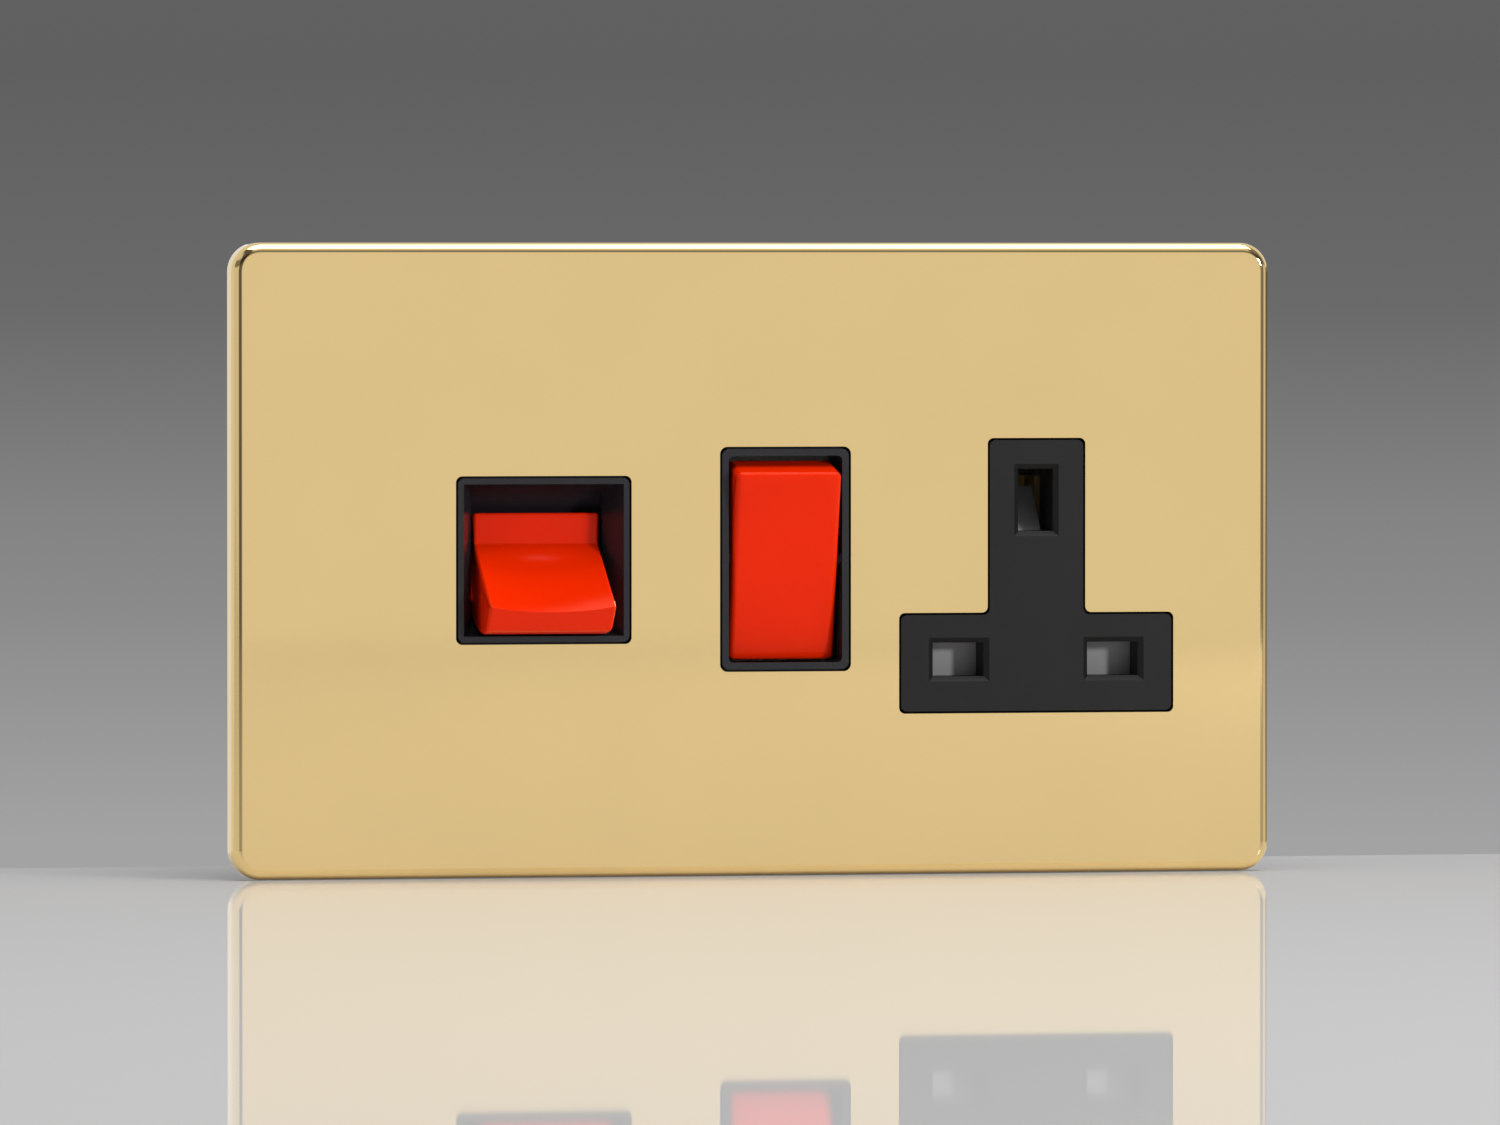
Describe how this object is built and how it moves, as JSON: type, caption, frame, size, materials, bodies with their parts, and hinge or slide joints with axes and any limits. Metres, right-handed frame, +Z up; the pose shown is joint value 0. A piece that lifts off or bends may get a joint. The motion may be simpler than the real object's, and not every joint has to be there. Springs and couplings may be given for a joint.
{
  "type": "cooker control unit",
  "caption": "Wall-mounted double plate in polished brass with a deep red rocker switch for a cooker, a red socket rocker and a shuttered flat-pin socket in a black T-shaped insert.",
  "frame": {"origin": "centre of the plate on the plane where the unit meets the wall", "axes": "+X to the right seen from the front, +Y into the wall, +Z up"},
  "size_m": [0.148, 0.0386, 0.088],
  "materials": {
    "polished_brass": "polished, lacquered",
    "black_moulding": "moulded",
    "black_gloss": "smooth moulded",
    "black_satin": "fine satin moulded",
    "red_gloss": "polished moulded",
    "white_moulding": "urea moulding",
    "grey_moulding": "moulded",
    "nylon": "moulded nylon",
    "zinc_steel": "zinc plated",
    "spring_steel": "drawn wire",
    "copper_strip": "pressed copper",
    "contact_brass": "pressed and drawn brass"
  },
  "bodies": {
    "housing": {"base_screws": "zinc_steel", "cooker_clamp_screws": "zinc_steel", "cooker_load_terminal_live": "contact_brass", "cooker_load_terminal_neutral": "contact_brass", "cooker_supply_terminal_live": "contact_brass", "cooker_supply_terminal_neutral": "contact_brass", "cooker_switch_base": "white_moulding", "cooker_switch_bezel": "black_gloss", "earth_clamp_screw": "zinc_steel", "earth_contact": "contact_brass", "feed_bar_live": "copper_strip", "feed_bar_neutral": "copper_strip", "fixing_screws": "zinc_steel", "front_plate": "polished_brass", "live_contact": "contact_brass", "neutral_contact": "contact_brass", "shutter_spring": "spring_steel", "socket_base": "white_moulding", "socket_front": "black_satin", "socket_switch_bezel": "black_gloss", "socket_switch_terminal_live": "contact_brass", "socket_switch_terminal_neutral": "contact_brass", "support_frame": "black_moulding"},
    "cooker_rocker_body": {"cooker_rocker": "red_gloss", "cooker_plunger_live": "nylon", "cooker_plunger_neutral": "nylon", "cooker_plunger_spring_live": "spring_steel", "cooker_plunger_spring_neutral": "spring_steel"},
    "cooker_lever_live_body": {"cooker_contact_lever_live": "copper_strip"},
    "cooker_lever_neutral_body": {"cooker_contact_lever_neutral": "copper_strip"},
    "socket_rocker_body": {"socket_rocker": "red_gloss", "socket_rocker_pin": "zinc_steel", "socket_plunger_live": "nylon", "socket_plunger_neutral": "nylon", "socket_plunger_spring_live": "spring_steel", "socket_plunger_spring_neutral": "spring_steel"},
    "socket_lever_live_body": {"socket_contact_lever_live": "copper_strip"},
    "socket_lever_neutral_body": {"socket_contact_lever_neutral": "copper_strip"},
    "shutter_body": {"shutter": "grey_moulding"}
  },
  "joints": [
    {"name": "cooker_rocker_tilt", "type": "hinge", "parent": "housing", "child": "cooker_rocker_body", "pos_m": [-0.0301, -0.0044, 0], "axis": [1, 0, 0], "range_deg": [0, 52]},
    {"name": "cooker_lever_live_tilt", "type": "hinge", "parent": "housing", "child": "cooker_lever_live_body", "pos_m": [-0.0245, 0.0094, 0], "axis": [1, 0, 0], "range_deg": [-16, 0]},
    {"name": "cooker_lever_neutral_tilt", "type": "hinge", "parent": "housing", "child": "cooker_lever_neutral_body", "pos_m": [-0.0357, 0.0094, 0], "axis": [1, 0, 0], "range_deg": [-16, 0]},
    {"name": "socket_rocker_tilt", "type": "hinge", "parent": "housing", "child": "socket_rocker_body", "pos_m": [0.0043, 0.001, 0], "axis": [1, 0, 0], "range_deg": [-24, 0]},
    {"name": "socket_lever_live_tilt", "type": "hinge", "parent": "housing", "child": "socket_lever_live_body", "pos_m": [0.0089, 0.0108, 0], "axis": [1, 0, 0], "range_deg": [0, 16]},
    {"name": "socket_lever_neutral_tilt", "type": "hinge", "parent": "housing", "child": "socket_lever_neutral_body", "pos_m": [-0.0003, 0.0108, 0], "axis": [1, 0, 0], "range_deg": [0, 16]},
    {"name": "shutter_slide", "type": "slide", "parent": "housing", "child": "shutter_body", "axis": [0, 0, -1], "range_m": [0, 0.006], "stiffness_N_per_m": 80, "springref_m": -0.003, "deforming": ["shutter_spring"]}
  ],
  "couplings": [
    {"joint": "cooker_lever_live_tilt", "follows": "cooker_rocker_tilt", "ratio": -0.30769},
    {"joint": "cooker_lever_neutral_tilt", "follows": "cooker_rocker_tilt", "ratio": -0.30769},
    {"joint": "socket_lever_live_tilt", "follows": "socket_rocker_tilt", "ratio": -0.66667},
    {"joint": "socket_lever_neutral_tilt", "follows": "socket_rocker_tilt", "ratio": -0.66667}
  ]
}
